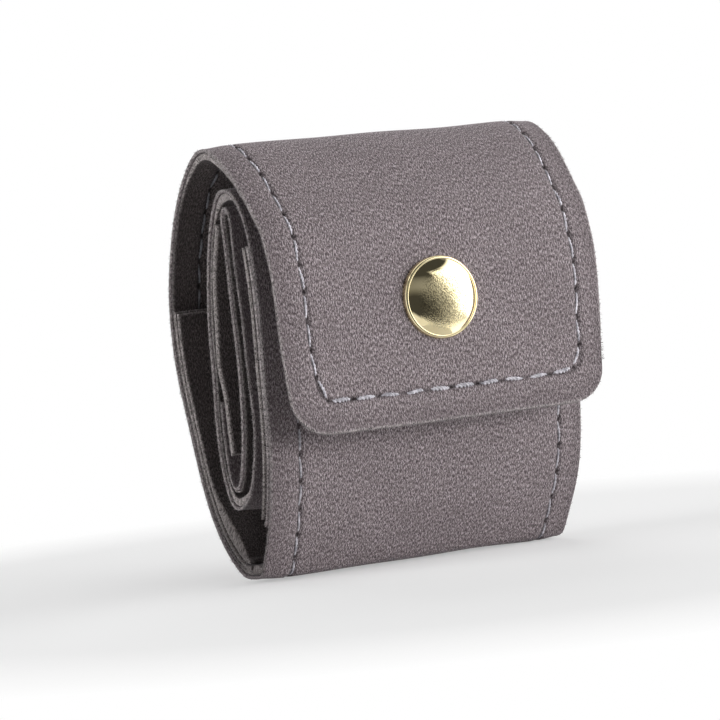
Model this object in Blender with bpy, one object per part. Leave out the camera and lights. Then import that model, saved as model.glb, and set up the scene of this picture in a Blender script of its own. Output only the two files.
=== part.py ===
"""Jewelry roll of two-ply faux suede, rolled up and closed by a flap with a domed snap.

Metres, +Z up. The strip's width runs along X, the flap and its snap face -Y, the back
faces +Y. The origin is the middle of the flattened bottom fold that the roll stands on.
"""

import math

import bmesh
import bpy
from mathutils import Vector

MM = 0.001

# Strip and roll
STRIP_WIDTH = 54.0 * MM
ROLL_HEIGHT = 65.0 * MM
BACK_REACH = 20.0 * MM
FRONT_REACH = 11.5 * MM
RIGHT_TUCK = 2.2 * MM
RIGHT_LEAN = 3.5 * MM
SUEDE_PLY = 0.7 * MM
LINING_PLY = 0.4 * MM
PLY_GAP = 0.3 * MM

# Flap and its two fold lines
FLAP_BELOW_SNAP = 17.7 * MM
FLAP_CORNER_RADIUS = 5.0 * MM
TIP_FLARE = 2.0 * MM
SIDE_FLARE = 0.9 * MM
FOLD_GAP = 0.3 * MM

# Pocket panel, leaves and inner panel
POCKET_PLY = 0.7 * MM
POCKET_DROP = 24.0 * MM
LEAF_PLY = 0.8 * MM
LEAF_DROP = 15.0 * MM
LEAF_FOOT_HEIGHT = 9.0 * MM
LEAF_BOW_SPREAD = 10.0 * MM
INNER_PLY = 1.4 * MM
INNER_DROP = 11.5 * MM
INNER_END_OVERLAP = 8.5 * MM
INNER_CLEARANCE = 0.4 * MM

# Snap
SNAP_DROP = 25.7 * MM
SEAT_GAP = 0.3 * MM
SNAP_PLAY = 0.2 * MM
CAP_DIAMETER = 12.5 * MM
CAP_RISE = 2.5 * MM
CAP_RIM = 0.5 * MM
CAP_WALL = 0.4 * MM
SHANK_DIAMETER = 3.0 * MM
SHANK_CLEARANCE = 0.3 * MM
SOCKET_DIAMETER = 10.2 * MM
SOCKET_COLLAR_DIAMETER = 7.0 * MM
SOCKET_RISE = 2.4 * MM
SOCKET_BRIM = 0.6 * MM
SOCKET_FLOOR = 0.5 * MM
SOCKET_LIP = 0.35 * MM
STUD_HEAD_DIAMETER = 3.8 * MM
STUD_NECK_DIAMETER = 3.3 * MM
STUD_HEAD_RISE = 1.2 * MM
STUD_FLANGE_DIAMETER = 9.8 * MM
STUD_FLANGE = 0.6 * MM
STUD_CLEARANCE = 0.5 * MM
SPRING_WIRE = 0.4 * MM
SPRING_CLEARANCE = 0.08 * MM
SPRING_MOUTH_DEGREES = 50.0
POST_DIAMETER = 9.0 * MM
POST_FLANGE = 0.6 * MM

# Facets
MAX_FACET_LENGTH = 4.5 * MM
MAX_FACET_DEGREES = 12.0
SHARP_EDGE_DEGREES = 40.0
ROUND_SIDES = 48
WIRE_FACETS = 24
CORNER_FACETS = 4
WIDTH_FACETS = 12
DOME_FACETS = 9

# Worked out from the sizes above: the strip's make-up and the snap's stack, which starts
# at the front panel's outer face and ends at the cap's seat on the flap. A drop is how far
# below the roll's top a thing lies.
FINE_STEP = FOLD_GAP / 2
STRIP_THICKNESS = SUEDE_PLY + PLY_GAP + LINING_PLY
LINING_DEPTH = SUEDE_PLY + PLY_GAP
HALF_WIDTH = STRIP_WIDTH / 2
SEAT_HALF_SHARE = 0.34
SNAP_HEIGHT = ROLL_HEIGHT - SNAP_DROP
SEAT_LOW = SNAP_HEIGHT - SEAT_HALF_SHARE * CAP_DIAMETER
SEAT_HIGH = SNAP_HEIGHT + SEAT_HALF_SHARE * CAP_DIAMETER
PANEL_FACE = -FRONT_REACH
STUD_SEAT = PANEL_FACE - SEAT_GAP
STUD_FACE = STUD_SEAT - STUD_FLANGE
SOCKET_MOUTH = STUD_FACE - SNAP_PLAY
SOCKET_BACK = SOCKET_MOUTH - SOCKET_RISE
FLAP_FACE = SOCKET_BACK - SEAT_GAP - STRIP_THICKNESS
CAP_SEAT = FLAP_FACE - SEAT_GAP
POST_SEAT = PANEL_FACE + STRIP_THICKNESS + SEAT_GAP
SHANK_HOLE = SHANK_DIAMETER + 2 * SHANK_CLEARANCE

# The strip's outer face as it is rolled up, seen from its left end. A point is a share of
# the reach to the front or to the back, and a share of the height: of the roll's, or on the
# front panel of the part below the snap's seat, and at its top of the part above that seat.
FLAP_FOLD_SHARES = (-1.0, 0.851)
TOP_SHARES = [(-0.652, 0.918), (-0.313, 0.9615), (0.06, 0.995), (0.275, 0.989)]
BACK_FOLD_SHARES = (0.5, 0.9415)
BACK_SHARES = [
    (0.67, 0.877), (0.835, 0.786), (0.96, 0.695), (1.0, 0.615), (0.975, 0.508),
    (0.895, 0.4), (0.805, 0.28), (0.68, 0.174), (0.48, 0.08), (0.22, 0.011),
]
FOOT_DIP_SHARES = (0.03, -0.03)
PANEL_SHARES = [(-0.27, 0.007), (-0.5, 0.15), (-0.665, 0.25), (-0.8, 0.4), (-0.92, 0.627)]
PANEL_TOP_SHARES = [(-0.93, 0.324), (-0.783, 0.542), (-0.548, 0.682), (-0.226, 0.715), (0.01, 0.627)]
TURN_SHARES = [
    (0.16, 0.805), (0.245, 0.742), (0.315, 0.646), (0.352, 0.562), (0.37, 0.462), (0.392, 0.369),
    (0.39, 0.292), (0.35, 0.228), (0.25, 0.175), (0.11, 0.163),
]
TURN_FRONT_SHARES = [
    (-0.148, 0.194), (-0.357, 0.257), (-0.487, 0.331), (-0.539, 0.423), (-0.522, 0.515),
    (-0.504, 0.615), (-0.461, 0.708), (-0.448, 0.785), (-0.448, 0.827), (-0.391, 0.853),
]
HAIRPIN_SHARES = [
    (-0.287, 0.863), (-0.183, 0.853), (-0.126, 0.827), (-0.117, 0.769), (-0.126, 0.692),
    (-0.139, 0.6), (-0.178, 0.508), (-0.157, 0.431), (-0.087, 0.362), (0.005, 0.3),
]
END_SHARES = [(0.075, 0.245), (0.15, 0.22), (0.21, 0.25), (0.225, 0.315), (0.23, 0.385), (0.23, 0.417)]
SHOULDER_SHARES = (0.35, 0.72)
INNER_LEG_SHARES = (0.0, 0.3, 0.6, 0.8)
INNER_END_SHARES = (0.0, 0.5, 1.0)


def new_material(name, colour, roughness, metallic):
    """Give back a Principled material in one plain finish."""
    material = bpy.data.materials.new(name)
    material.use_nodes = True
    shader = material.node_tree.nodes["Principled BSDF"]
    shader.inputs["Base Color"].default_value = (*colour, 1.0)
    shader.inputs["Roughness"].default_value = roughness
    shader.inputs["Metallic"].default_value = metallic
    return material


def place(shares, low=0.0, high=ROLL_HEIGHT):
    """Turn one pair of shares into a place (y, z) in the roll's section, between two heights."""
    reach = BACK_REACH if shares[0] > 0 else FRONT_REACH
    return Vector((shares[0] * reach, low + shares[1] * (high - low)))


def smooth(points):
    """Run a Catmull-Rom curve through some points and sample it finely."""
    padded = [2 * points[0] - points[1], *points, 2 * points[-1] - points[-2]]
    samples = []
    for before, start, end, after in zip(padded, padded[1:], padded[2:], padded[3:]):
        count = max(2, math.ceil((end - start).length / FINE_STEP))
        for index in range(count):
            t = index / count
            samples.append((
                2 * start
                + (end - before) * t
                + (2 * before - 5 * start + 4 * end - after) * t ** 2
                + (3 * start - before - 3 * end + after) * t ** 3
            ) / 2)
    samples.append(points[-1].copy())
    return samples


def even(samples):
    """Sample a curve again at even steps of about the fine step."""
    lengths = [0.0]
    for before, after in zip(samples, samples[1:]):
        lengths.append(lengths[-1] + (after - before).length)
    count = max(2, round(lengths[-1] / FINE_STEP))
    path = []
    index = 1
    for step in range(count + 1):
        along = lengths[-1] * step / count
        while index < len(lengths) - 1 and lengths[index] < along:
            index += 1
        part = (along - lengths[index - 1]) / (lengths[index] - lengths[index - 1])
        path.append(samples[index - 1].lerp(samples[index], part))
    return path


def inward_normals(path):
    """Give a path's unit normals that point into the roll."""
    normals = []
    for index in range(len(path)):
        tangent = path[min(index + 1, len(path) - 1)] - path[max(index - 1, 0)]
        normals.append(Vector((tangent.y, -tangent.x)).normalized())
    return normals


def offset(path, depth):
    """Move a path into the roll by one depth."""
    return [point + normal * depth for point, normal in zip(path, inward_normals(path))]


def nearest(path, target):
    """Give the index of the sample that lies nearest to a place."""
    return min(range(len(path)), key=lambda index: (path[index] - target).length)


def at_height(path, height, start, end):
    """Give the index between two others whose sample lies nearest to a height."""
    return min(range(start, end), key=lambda index: abs(path[index].y - height))


def facet_stops(path):
    """Pick the samples that a faceted path keeps, closer together where it bends more."""
    stops = [0]
    turned_by = 0.0
    for index in range(1, len(path) - 2):
        before = path[index] - path[index - 1]
        after = path[index + 1] - path[index]
        turned_by += abs(before.angle(after))
        length = (index - stops[-1]) * before.length
        if math.degrees(turned_by) > MAX_FACET_DEGREES or length > MAX_FACET_LENGTH:
            stops.append(index)
            turned_by = 0.0
    return stops + [len(path) - 1]


def at_share(samples, share):
    """Read an evenly sampled list at a share of its length."""
    place_in_list = share * (len(samples) - 1)
    index = min(int(place_in_list), len(samples) - 2)
    return samples[index].lerp(samples[index + 1], place_in_list - index)


def strip_path():
    """Build the strip's outer face, from the flap's tip to its end inside the roll."""
    fold = place(FLAP_FOLD_SHARES)
    tip_height = SNAP_HEIGHT - FLAP_BELOW_SNAP
    points = [
        Vector((FLAP_FACE - TIP_FLARE, tip_height)),
        Vector((FLAP_FACE - TIP_FLARE / 4, (tip_height + SEAT_LOW) / 2)),
        Vector((FLAP_FACE, SEAT_LOW)),
        Vector((FLAP_FACE, SEAT_HIGH)),
    ]
    for share in SHOULDER_SHARES:
        y = fold.x + (FLAP_FACE - fold.x) * math.sqrt(1 - share)
        points.append(Vector((y, SEAT_HIGH + (fold.y - SEAT_HIGH) * share)))
    outer_shares = [FLAP_FOLD_SHARES, *TOP_SHARES, BACK_FOLD_SHARES, *BACK_SHARES]
    points += [place(shares) for shares in [*outer_shares, FOOT_DIP_SHARES]]
    points += [place(shares, high=SEAT_LOW) for shares in PANEL_SHARES]
    points += [Vector((PANEL_FACE, SEAT_LOW)), Vector((PANEL_FACE, SEAT_HIGH))]
    points += [place(shares, low=SEAT_HIGH) for shares in PANEL_TOP_SHARES]
    inner_shares = [*TURN_SHARES, *TURN_FRONT_SHARES, *HAIRPIN_SHARES, *END_SHARES]
    points += [place(shares) for shares in inner_shares]
    return even([Vector((sample.x, max(sample.y, 0.0))) for sample in smooth(points)])


def width_stations(corner):
    """Give the places across the strip, closer together round its corners."""
    straight = HALF_WIDTH - corner
    stations = [straight * (2 * index / WIDTH_FACETS - 1) for index in range(WIDTH_FACETS + 1)]
    if corner > 0:
        for index in range(1, CORNER_FACETS + 1):
            reach = straight + corner * math.sin(math.pi / 2 * index / CORNER_FACETS)
            stations = [-reach, *stations, reach]
    return stations


def askew(x, z):
    """Move a place across the strip: it is wound askew, so the roll's right end leans out."""
    return x + max(x, 0.0) / HALF_WIDTH * (RIGHT_LEAN * z / ROLL_HEIGHT - RIGHT_TUCK)


def corner_cut(x, corner):
    """Give how much a rounded corner takes off the strip's end at a place across it."""
    over = max(abs(x) - (HALF_WIDTH - corner), 0.0)
    return corner - math.sqrt(max(corner ** 2 - over ** 2, 0.0))


def ply(name, path, depth, thickness, material, corner=0.0, lift=None):
    """Make one ply: a closed sheet as wide as the strip that follows a path.

    depth is how far its outer face lies inside the path, corner rounds the two corners at
    the path's start, and lift(x, z, share) is how far a point stands out from the path.
    """
    length = FINE_STEP * (len(path) - 1)
    normals = inward_normals(path)
    shares = [stop / (len(path) - 1) for stop in facet_stops(path)]
    builder = bmesh.new()
    sides = []
    for face_depth in (depth, depth + thickness):
        face = offset(path, face_depth)
        columns = []
        for x in width_stations(corner):
            cut = corner_cut(x, corner) / length
            column = []
            for share in shares:
                along = cut + (1 - cut) * share
                point = at_share(face, along)
                if lift:
                    point = point - at_share(normals, along) * lift(x, point.y, along)
                column.append(builder.verts.new((askew(x, point.y), point.x, point.y)))
            columns.append(column)
        sides.append(columns)
    outer, inner = sides
    last_column, last_row = len(outer) - 1, len(shares) - 1
    for i in range(last_column):
        for j in range(last_row):
            for side in sides:
                builder.faces.new((side[i][j], side[i + 1][j], side[i + 1][j + 1], side[i][j + 1]))
        for j in (0, last_row):
            builder.faces.new((outer[i][j], inner[i][j], inner[i + 1][j], outer[i + 1][j]))
    for i in (0, last_column):
        for j in range(last_row):
            builder.faces.new((outer[i][j], outer[i][j + 1], inner[i][j + 1], inner[i][j]))
    return finish_mesh(name, builder, material)


def finish_mesh(name, builder, material):
    """Write a bmesh into a named object with its material, shaded smooth."""
    bmesh.ops.recalc_face_normals(builder, faces=builder.faces)
    mesh = bpy.data.meshes.new(name)
    builder.to_mesh(mesh)
    builder.free()
    mesh.materials.append(material)
    mesh.shade_smooth()
    mesh.set_sharp_from_angle(angle=math.radians(SHARP_EDGE_DEGREES))
    piece = bpy.data.objects.new(name, mesh)
    bpy.context.collection.objects.link(piece)
    return piece


def turned(name, profile, material):
    """Turn a profile of (radius, y) round the snap's axis into a closed piece.

    A profile that starts and ends on the axis is closed there, and any other is a ring.
    """
    builder = bmesh.new()
    rings = []
    for radius, y in profile:
        sides = ROUND_SIDES if radius > 0 else 1
        angles = [2 * math.pi * index / ROUND_SIDES for index in range(sides)]
        rings.append([
            builder.verts.new((radius * math.cos(a), y, SNAP_HEIGHT + radius * math.sin(a)))
            for a in angles
        ])
    pairs = list(zip(rings, rings[1:]))
    if len(rings[0]) > 1:
        pairs.append((rings[-1], rings[0]))
    for first, second in pairs:
        for index in range(ROUND_SIDES):
            corners = [
                first[index % len(first)],
                first[(index + 1) % len(first)] if len(first) > 1 else first[0],
                second[(index + 1) % len(second)] if len(second) > 1 else second[0],
                second[index % len(second)],
            ]
            builder.faces.new(list(dict.fromkeys(corners)))
    return finish_mesh(name, builder, material)


def wire_ring(name, radius, y, material):
    """Bend the snap's split ring of round wire, open at the bottom."""
    curve = bpy.data.curves.new(name, "CURVE")
    curve.dimensions = "3D"
    curve.bevel_depth = SPRING_WIRE / 2
    curve.bevel_resolution = 1
    curve.use_fill_caps = True
    spline = curve.splines.new("POLY")
    spline.points.add(WIRE_FACETS)
    mouth = math.radians(SPRING_MOUTH_DEGREES)
    for index, point in enumerate(spline.points):
        angle = (mouth - math.pi) / 2 + (2 * math.pi - mouth) * index / (WIRE_FACETS)
        point.co = (radius * math.cos(angle), y, SNAP_HEIGHT + radius * math.sin(angle), 1)
    curve.materials.append(material)
    ring = bpy.data.objects.new(name, curve)
    bpy.context.collection.objects.link(ring)
    return ring


def punch(pieces, near, far):
    """Cut the hole for the snap's shank through some plies, between two places along Y."""
    bpy.ops.mesh.primitive_cylinder_add(
        vertices=ROUND_SIDES, radius=SHANK_HOLE / 2, depth=abs(far - near),
        location=(0, (near + far) / 2, SNAP_HEIGHT), rotation=(math.pi / 2, 0, 0),
    )
    cutter = bpy.context.object
    cutter.name = "punch_for_" + pieces[0].name
    cutter.hide_render = True
    cutter.display_type = "WIRE"
    for piece in pieces:
        hole = piece.modifiers.new("shank_hole", "BOOLEAN")
        hole.operation = "DIFFERENCE"
        hole.solver = "EXACT"
        hole.object = cutter


def side_flare(x, z, share):
    """Let the flap's sides stand off, because only its middle is held by the snap."""
    return SIDE_FLARE * (x / HALF_WIDTH) ** 2 * math.cos(math.pi / 2 * share) ** 2


def leaf_bow(x, z, share):
    """Bow a leaf back, away from the front panel, where the snap's post lies behind it."""
    clear = POST_DIAMETER / 2 + MAX_FACET_LENGTH / 2
    away = min(max(math.hypot(x, z - SNAP_HEIGHT) - clear, 0.0) / LEAF_BOW_SPREAD, 1.0)
    return -(POST_FLANGE + SEAT_GAP) * math.cos(math.pi / 2 * away) ** 2


def inner_panel_path(path, turn_top, turn_bottom, end_fold):
    """Hang the inner panel inside the turn's back leg, then inside the strip's own end."""
    clearance = STRIP_THICKNESS + INNER_CLEARANCE
    top = ROLL_HEIGHT - INNER_DROP
    end_top = path[-1].y
    points = []
    for share in INNER_LEG_SHARES:
        height = top + (end_top - top) * share
        leg = path[at_height(path, height, turn_top, turn_bottom)]
        points.append(Vector((leg.x - clearance, height)))
    for share in INNER_END_SHARES:
        height = end_top + INNER_CLEARANCE - INNER_END_OVERLAP * share
        end = path[at_height(path, height, end_fold, len(path))]
        points.append(Vector((end.x - INNER_CLEARANCE, height)))
    return even(smooth(points))


def fold_line(name, at, carrier=None):
    """Mark a fold line with an empty on its axis, which may hang on another."""
    empty = bpy.data.objects.new(name, None)
    bpy.context.collection.objects.link(empty)
    empty.parent = carrier
    empty.location = Vector((0, at.x, at.y)) - (carrier.location if carrier else Vector())
    return empty


def hang(pieces, empty):
    """Parent pieces to a fold line, left where they are."""
    bpy.context.view_layer.update()
    for piece in pieces:
        piece.parent = empty
        piece.matrix_parent_inverse = empty.matrix_world.inverted()


for stale in list(bpy.data.objects):
    bpy.data.objects.remove(stale, do_unlink=True)

suede = new_material("grey_suede", (0.21, 0.18, 0.185), 0.95, 0.0)
lining = new_material("grey_lining", (0.17, 0.145, 0.148), 0.95, 0.0)
gold = new_material("pale_gold", (0.79, 0.66, 0.42), 0.22, 1.0)
steel = new_material("spring_steel", (0.6, 0.6, 0.6), 0.3, 1.0)

# The strip, cut at the two lines where it folds when the flap is opened
outer_face = strip_path()
flap_fold = nearest(outer_face, place(FLAP_FOLD_SHARES))
back_fold = nearest(outer_face, place(BACK_FOLD_SHARES))
flap_path = outer_face[:flap_fold]
top_path = outer_face[flap_fold + 1:back_fold]
wrap_path = outer_face[back_fold + 1:]

flap_suede = ply("flap_suede", flap_path, 0.0, SUEDE_PLY, suede, FLAP_CORNER_RADIUS, side_flare)
flap_lining = ply(
    "flap_lining", flap_path, LINING_DEPTH, LINING_PLY, lining, FLAP_CORNER_RADIUS, side_flare)
top_suede = ply("top_suede", top_path, 0.0, SUEDE_PLY, suede)
top_lining = ply("top_lining", top_path, LINING_DEPTH, LINING_PLY, lining)
wrap_suede = ply("wrap_suede", wrap_path, 0.0, SUEDE_PLY, suede)
wrap_lining = ply("wrap_lining", wrap_path, LINING_DEPTH, LINING_PLY, lining)

# The pocket panel, from halfway up the back down to the middle of the bottom fold
foot = nearest(wrap_path, Vector((0, 0)))
pocket_start = at_height(wrap_path, ROLL_HEIGHT - POCKET_DROP, 0, foot)
pocket_path = wrap_path[pocket_start:foot]
pocket_depth = STRIP_THICKNESS + PLY_GAP
ply("pocket_back", pocket_path, pocket_depth, POCKET_PLY, lining)
ply("pocket_front", pocket_path, pocket_depth + POCKET_PLY + PLY_GAP, POCKET_PLY, suede)

# The two leaves behind the front panel
panel_top = nearest(wrap_path, place(PANEL_TOP_SHARES[2], low=SEAT_HIGH))
leaf_foot = at_height(wrap_path, LEAF_FOOT_HEIGHT, foot, panel_top)
leaf_top = at_height(wrap_path, ROLL_HEIGHT - LEAF_DROP, foot, panel_top)
leaf_path = wrap_path[leaf_foot:leaf_top]
leaf_depth = STRIP_THICKNESS + PLY_GAP
ply("leaf_front", leaf_path, leaf_depth, LEAF_PLY, suede, lift=leaf_bow)
ply("leaf_back", leaf_path, leaf_depth + LEAF_PLY + PLY_GAP, LEAF_PLY, lining, lift=leaf_bow)

# The panel that hangs inside the turn
turn_bottom = nearest(wrap_path, place(TURN_SHARES[-1]))
end_fold = nearest(wrap_path, place(END_SHARES[1]))
inner_path = inner_panel_path(wrap_path, panel_top, turn_bottom, end_fold)
ply("inner_panel", inner_path, 0.0, INNER_PLY, suede)

# The snap: cap and socket on the flap, stud and post on the front panel
cap_radius = CAP_DIAMETER / 2
dome_rise = CAP_RISE - CAP_RIM
dome = [
    (cap_radius * math.cos(math.pi / 2 * index / DOME_FACETS),
     CAP_SEAT - CAP_RIM - dome_rise * math.sin(math.pi / 2 * index / DOME_FACETS))
    for index in range(DOME_FACETS)
]
hollow_scale = 1 - CAP_WALL / cap_radius
hollow = [
    (radius * hollow_scale, y + CAP_WALL) for radius, y in dome if radius > SHANK_DIAMETER
]
snap_cap = turned("snap_cap", [
    (0, CAP_SEAT - CAP_RISE), *reversed(dome),
    (cap_radius - CAP_RIM / 2, CAP_SEAT), (cap_radius - CAP_RIM, CAP_SEAT), *hollow,
    (SHANK_DIAMETER / 2, CAP_SEAT - CAP_RISE + CAP_RIM),
    (SHANK_DIAMETER / 2, SOCKET_BACK + SOCKET_FLOOR), (0, SOCKET_BACK + SOCKET_FLOOR),
], gold)

bore = STUD_HEAD_DIAMETER / 2 + STUD_CLEARANCE
groove = bore + SPRING_WIRE + 2 * SPRING_CLEARANCE
groove_low = SOCKET_MOUTH - SOCKET_LIP
groove_high = groove_low - SPRING_WIRE - 2 * SPRING_CLEARANCE
snap_socket = turned("snap_socket", [
    (SHANK_HOLE / 2, SOCKET_BACK), (SOCKET_DIAMETER / 2, SOCKET_BACK),
    (SOCKET_DIAMETER / 2, SOCKET_BACK + SOCKET_BRIM),
    (SOCKET_COLLAR_DIAMETER / 2, SOCKET_BACK + SOCKET_BRIM),
    (SOCKET_COLLAR_DIAMETER / 2, SOCKET_MOUTH), (bore, SOCKET_MOUTH),
    (bore, groove_low), (groove, groove_low), (groove, groove_high), (bore, groove_high),
    (bore, SOCKET_BACK + SOCKET_FLOOR), (SHANK_HOLE / 2, SOCKET_BACK + SOCKET_FLOOR),
], gold)

snap_stud = turned("snap_stud", [
    (0, STUD_FACE - STUD_HEAD_RISE), (STUD_NECK_DIAMETER / 2, STUD_FACE - STUD_HEAD_RISE),
    (STUD_HEAD_DIAMETER / 2, STUD_FACE - STUD_HEAD_RISE * 3 / 4),
    (STUD_HEAD_DIAMETER / 2, STUD_FACE - STUD_HEAD_RISE / 2),
    (STUD_NECK_DIAMETER / 2, STUD_FACE - STUD_HEAD_RISE / 4),
    (STUD_NECK_DIAMETER / 2, STUD_FACE), (STUD_FLANGE_DIAMETER / 2, STUD_FACE),
    (STUD_FLANGE_DIAMETER / 2, STUD_SEAT), (0, STUD_SEAT),
], gold)
turned("snap_post", [
    (0, PANEL_FACE), (SHANK_DIAMETER / 2, PANEL_FACE), (SHANK_DIAMETER / 2, POST_SEAT),
    (POST_DIAMETER / 2, POST_SEAT), (POST_DIAMETER / 2, POST_SEAT + POST_FLANGE),
    (0, POST_SEAT + POST_FLANGE),
], steel)

socket_spring = wire_ring("socket_spring", (bore + groove) / 2, (groove_low + groove_high) / 2, steel)

# The holes for the shanks, and the two fold lines that carry what moves
punch([flap_suede, flap_lining], FLAP_FACE - SIDE_FLARE, SOCKET_BACK)
punch([wrap_suede, wrap_lining], STUD_SEAT, POST_SEAT)
top_hinge = fold_line("top_fold_line", outer_face[back_fold])
flap_hinge = fold_line("flap_fold_line", outer_face[flap_fold], top_hinge)
hang([top_suede, top_lining], top_hinge)
hang([flap_suede, flap_lining, snap_cap, snap_socket, socket_spring], flap_hinge)
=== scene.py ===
# %% [markdown]
# # A jewelry roll in grey faux suede
#
# The object is one long strip of soft two-ply cloth, rolled up from its inner end and closed by
# its own flap with a domed gold snap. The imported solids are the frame: they say where every
# layer runs and how the flap turns. This script dresses them. Each stiff faceted layer is
# replaced by a fine sheet that follows the same line, with rounded rims, sewn rows and nap.

import math
from dataclasses import dataclass

import bpy
import numpy as np
from mathutils import Matrix, Vector


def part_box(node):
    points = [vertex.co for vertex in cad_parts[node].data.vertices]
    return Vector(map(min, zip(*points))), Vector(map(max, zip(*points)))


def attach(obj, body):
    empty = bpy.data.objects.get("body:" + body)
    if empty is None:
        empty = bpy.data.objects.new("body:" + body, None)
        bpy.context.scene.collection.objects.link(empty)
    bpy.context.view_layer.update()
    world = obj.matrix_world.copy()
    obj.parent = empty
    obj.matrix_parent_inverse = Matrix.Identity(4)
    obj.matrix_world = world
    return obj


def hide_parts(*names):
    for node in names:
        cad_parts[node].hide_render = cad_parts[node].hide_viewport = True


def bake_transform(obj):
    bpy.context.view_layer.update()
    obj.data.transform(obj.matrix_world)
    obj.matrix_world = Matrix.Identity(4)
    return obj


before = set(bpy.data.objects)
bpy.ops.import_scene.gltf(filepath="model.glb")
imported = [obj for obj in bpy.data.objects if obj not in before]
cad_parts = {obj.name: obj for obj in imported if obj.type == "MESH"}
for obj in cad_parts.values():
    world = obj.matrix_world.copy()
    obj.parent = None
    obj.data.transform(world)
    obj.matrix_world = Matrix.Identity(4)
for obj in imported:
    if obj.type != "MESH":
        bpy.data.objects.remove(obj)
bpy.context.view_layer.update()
print("nodes:", sorted(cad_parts))

# %% Sizes that the frame gives
MM = 0.001
ROLL_HEIGHT = 65.0 * MM
BACK_REACH = 20.0 * MM
FRONT_REACH = 11.5 * MM
STRIP_THICKNESS = 1.4 * MM
SEAT_GAP = 0.3 * MM
cap_low, cap_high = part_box("snap_cap")
half_width = -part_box("wrap_suede")[0].x
cap_radius = (cap_high.x - cap_low.x) / 2
snap_height = (cap_low.z + cap_high.z) / 2
flap_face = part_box("snap_socket")[0].y - SEAT_GAP - STRIP_THICKNESS
print("half width", round(half_width / MM, 2), "mm, snap height", round(snap_height / MM, 2), "mm")

# %% [markdown]
# ## The line that every layer follows
#
# Seen from its left end the roll is one curve: down the flap, over the top, down the back,
# round the bottom fold, up the front panel, and on into the spiral. Drawing that curve once
# and laying every sheet along it is how a maker thinks of the thing. Modelling each turn by
# itself would let neighbours drift apart. The points are shares of the roll's height and
# reach, the same ones that the solids use, and a Catmull-Rom curve joins them.

# %% The points of the section
SEAT_HALF_SHARE = 0.34
FLAP_BELOW_SNAP = 17.7 * MM
TIP_FLARE = 2.0 * MM
seat_low = snap_height - SEAT_HALF_SHARE * 2 * cap_radius
seat_high = snap_height + SEAT_HALF_SHARE * 2 * cap_radius
panel_face = -FRONT_REACH

FLAP_FOLD_SHARES = (-1.0, 0.851)
SHOULDER_SHARES = (0.35, 0.72)
TOP_SHARES = [(-0.652, 0.918), (-0.313, 0.9615), (0.06, 0.995), (0.275, 0.989)]
BACK_FOLD_SHARES = (0.5, 0.9415)
BACK_SHARES = [
    (0.67, 0.877), (0.835, 0.786), (0.96, 0.695), (1.0, 0.615), (0.975, 0.508),
    (0.895, 0.4), (0.805, 0.28), (0.68, 0.174), (0.48, 0.08), (0.22, 0.011),
]
FOOT_DIP_SHARES = (0.03, -0.03)
PANEL_SHARES = [(-0.27, 0.007), (-0.5, 0.15), (-0.665, 0.25), (-0.8, 0.4), (-0.92, 0.627)]
PANEL_TOP_SHARES = [(-0.93, 0.324), (-0.783, 0.542), (-0.548, 0.682), (-0.226, 0.715), (0.01, 0.627)]
TURN_SHARES = [
    (0.16, 0.805), (0.245, 0.742), (0.315, 0.646), (0.352, 0.562), (0.37, 0.462), (0.392, 0.369),
    (0.39, 0.292), (0.35, 0.228), (0.25, 0.175), (0.11, 0.163),
]
TURN_FRONT_SHARES = [
    (-0.148, 0.194), (-0.357, 0.257), (-0.487, 0.331), (-0.539, 0.423), (-0.522, 0.515),
    (-0.504, 0.615), (-0.461, 0.708), (-0.448, 0.785), (-0.448, 0.827), (-0.391, 0.853),
]
HAIRPIN_SHARES = [
    (-0.287, 0.863), (-0.183, 0.853), (-0.126, 0.827), (-0.117, 0.769), (-0.126, 0.692),
    (-0.139, 0.6), (-0.178, 0.508), (-0.157, 0.431), (-0.087, 0.362), (0.005, 0.3),
]
END_SHARES = [(0.075, 0.245), (0.15, 0.22), (0.21, 0.25), (0.225, 0.315), (0.23, 0.385), (0.23, 0.417)]


def place(shares, low=0.0, high=ROLL_HEIGHT):
    """Turn one pair of shares into a place (y, z) in the section."""
    reach = BACK_REACH if shares[0] > 0 else FRONT_REACH
    return (shares[0] * reach, low + shares[1] * (high - low))


def section_points():
    """List the strip's outer face from the flap's tip to its end inside the roll."""
    fold = place(FLAP_FOLD_SHARES)
    tip_height = snap_height - FLAP_BELOW_SNAP
    points = [
        (flap_face - TIP_FLARE, tip_height),
        (flap_face - TIP_FLARE / 4, (tip_height + seat_low) / 2),
        (flap_face, seat_low), (flap_face, seat_high),
    ]
    for share in SHOULDER_SHARES:
        y = fold[0] + (flap_face - fold[0]) * math.sqrt(1 - share)
        points.append((y, seat_high + (fold[1] - seat_high) * share))
    outer = [FLAP_FOLD_SHARES, *TOP_SHARES, BACK_FOLD_SHARES, *BACK_SHARES, FOOT_DIP_SHARES]
    points += [place(shares) for shares in outer]
    points += [place(shares, high=seat_low) for shares in PANEL_SHARES]
    points += [(panel_face, seat_low), (panel_face, seat_high)]
    points += [place(shares, low=seat_high) for shares in PANEL_TOP_SHARES]
    inner = [*TURN_SHARES, *TURN_FRONT_SHARES, *HAIRPIN_SHARES, *END_SHARES]
    return points + [place(shares) for shares in inner]


# %% A route: a smooth line with its inward side
PATH_STEP = 0.15 * MM
SOFTEN_REACH = 0.5 * MM
CALM_REACH = 3.0 * MM
CALM_LIMIT = 0.3 * MM
FOOT_EASE = 1.3 * MM


def distance_along(line):
    """Measure the distance along a line at each of its points."""
    return np.concatenate([[0], np.cumsum(np.linalg.norm(np.diff(line, axis=0), axis=1))])


def at_even_steps(line, step):
    """Take a line's points again at even distances, as near to the step as its length allows."""
    along = distance_along(line)
    places = np.linspace(0, along[-1], max(2, round(along[-1] / step)) + 1)
    return np.stack([np.interp(places, along, column) for column in line.T], 1)


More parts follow.
